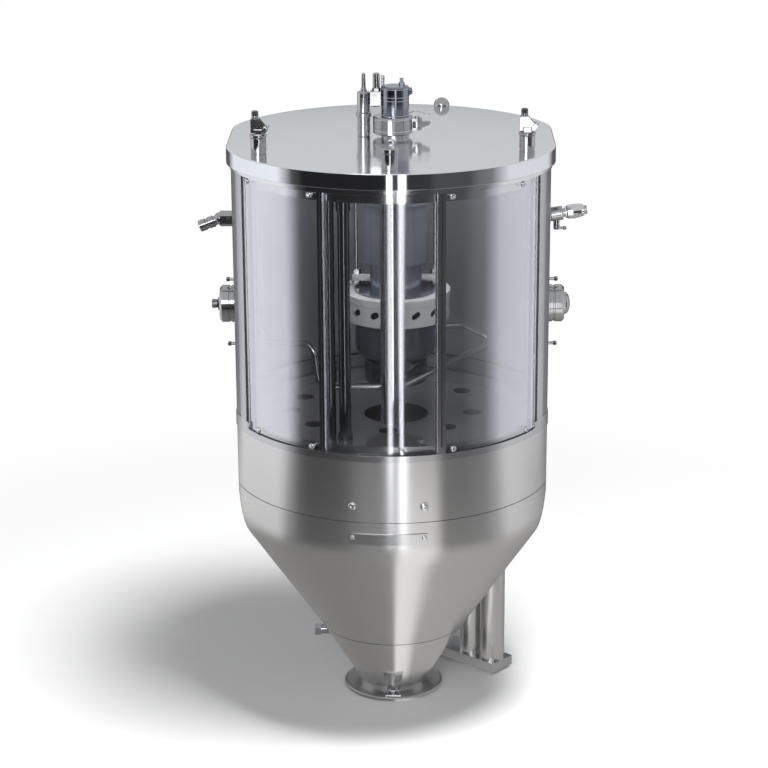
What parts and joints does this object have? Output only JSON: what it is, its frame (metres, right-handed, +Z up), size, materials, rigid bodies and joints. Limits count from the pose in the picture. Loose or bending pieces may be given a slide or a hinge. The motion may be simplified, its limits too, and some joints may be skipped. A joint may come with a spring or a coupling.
{
  "type": "colloid mill",
  "caption": "Laboratory colloid mill in a round glazed steel chamber with a flat lid, a mill head hung inside, and a conical hopper with a flanged bottom outlet.",
  "frame": {"origin": "centre of the outlet bore at the underside of the base flange", "axes": "+Z up along the vessel, -Y towards the glazed front, +X to the right seen from the front"},
  "size_m": [0.4987, 0.437, 0.835],
  "materials": {
    "brushed_steel": "vertical brushed stainless steel",
    "polished_steel": "polished stainless steel",
    "dark_knob": "satin black",
    "glass": "clear toughened glass",
    "seal_rubber": "matt",
    "housing_alloy": "satin blue grey",
    "ring_white": "light satin",
    "bowl_steel": "dark satin"
  },
  "bodies": {
    "vessel": {"hopper_cone": "brushed_steel", "outlet_spout": "brushed_steel", "deck_band": "brushed_steel", "deck_plate": "brushed_steel", "rear_shell": "brushed_steel", "support_tubes": "brushed_steel", "foot_bar": "brushed_steel", "side_ports": "brushed_steel", "discharge_tube": "brushed_steel", "base_flange": "polished_steel", "side_port": "polished_steel", "deck_ring": "polished_steel", "button_screws": "polished_steel", "nameplate": "polished_steel", "corner_strip_left": "polished_steel", "corner_strip_right": "polished_steel", "mullion_left": "polished_steel", "mullion_right": "polished_steel", "top_ring": "polished_steel", "lid": "polished_steel", "fitting_bosses": "polished_steel", "fitting_bodies": "polished_steel", "front_eye": "polished_steel", "vent_dome": "polished_steel", "motor_clamp": "polished_steel", "motor_can": "polished_steel", "motor_cap": "polished_steel", "sensor_body": "polished_steel", "sensor_stem": "polished_steel", "valve_block": "polished_steel", "shaft_bearings": "polished_steel", "hanger_rods": "polished_steel", "inlet_tube": "polished_steel", "guide_columns": "polished_steel", "recirculation_pipe": "polished_steel", "left_nozzle": "polished_steel", "right_nozzle": "polished_steel", "side_pins": "polished_steel", "glass_left": "glass", "glass_centre": "glass", "glass_right": "glass", "lid_gasket": "seal_rubber", "shaft_seal": "seal_rubber", "drive_housing": "housing_alloy", "bearing_carrier": "housing_alloy", "head_bracket": "housing_alloy", "mill_bowl": "bowl_steel"},
    "mill_rotor": {"drive_shaft": "polished_steel", "rotor": "polished_steel"},
    "adjuster": {"adjusting_ring": "ring_white"},
    "stator_slide": {"stator": "polished_steel"},
    "valve_knob_left": {"fitting_knob_left": "dark_knob"},
    "valve_knob_right": {"fitting_knob_right": "dark_knob"},
    "motor_lever": {"clamp_lever": "dark_knob"},
    "latch": {"outlet_latch": "polished_steel"},
    "port_knob_left": {"left_knob": "dark_knob"},
    "port_knob_right": {"right_knob": "dark_knob"},
    "sleeve": {"coupling_sleeve": "dark_knob"},
    "cock": {"drain_lever": "polished_steel"}
  },
  "joints": [
    {"name": "rotor_spin", "type": "hinge", "parent": "vessel", "child": "mill_rotor", "pos_m": [0.005, 0, 0.5], "axis": [0, 0, 1], "continuous": true},
    {"name": "adjuster_turn", "type": "hinge", "parent": "vessel", "child": "adjuster", "pos_m": [0.005, 0, 0.53], "axis": [0, 0, 1], "range_deg": [-90, 90]},
    {"name": "stator_travel", "type": "slide", "parent": "vessel", "child": "stator_slide", "axis": [0, 0, 1], "range_m": [-0.0006, 0.0006]},
    {"name": "valve_knob_left_turn", "type": "hinge", "parent": "vessel", "child": "valve_knob_left", "pos_m": [-0.16545, -0.0935, 0.79], "axis": [0, 0, 1], "range_deg": [-180, 180]},
    {"name": "valve_knob_right_turn", "type": "hinge", "parent": "vessel", "child": "valve_knob_right", "pos_m": [0.16457, -0.08198, 0.79], "axis": [0, 0, 1], "range_deg": [-180, 180]},
    {"name": "motor_lever_turn", "type": "hinge", "parent": "vessel", "child": "motor_lever", "pos_m": [0.033, 0, 0.77], "axis": [0, 0, 1], "range_deg": [-90, 0]},
    {"name": "latch_lift", "type": "hinge", "parent": "vessel", "child": "latch", "pos_m": [0, -0.0482, 0.0076], "axis": [1, 0, 0], "range_deg": [-65, 0]},
    {"name": "port_knob_left_turn", "type": "hinge", "parent": "vessel", "child": "port_knob_left", "pos_m": [-0.22, 0, 0.535], "axis": [1, 0, 0], "range_deg": [-180, 180]},
    {"name": "port_knob_right_turn", "type": "hinge", "parent": "vessel", "child": "port_knob_right", "pos_m": [0.22, 0, 0.535], "axis": [1, 0, 0], "range_deg": [-90, 90]},
    {"name": "sleeve_slide", "type": "slide", "parent": "vessel", "child": "sleeve", "axis": [0.9903, 0, 0.1392], "range_m": [-0.0025, 0], "stiffness_N_per_m": 400},
    {"name": "cock_turn", "type": "hinge", "parent": "vessel", "child": "cock", "pos_m": [0.211, 0, 0.636], "axis": [0, 0, 1], "range_deg": [-90, 90]}
  ],
  "couplings": [
    {"joint": "stator_travel", "follows": "adjuster_turn", "m_per_rad": 0.00031831}
  ]
}
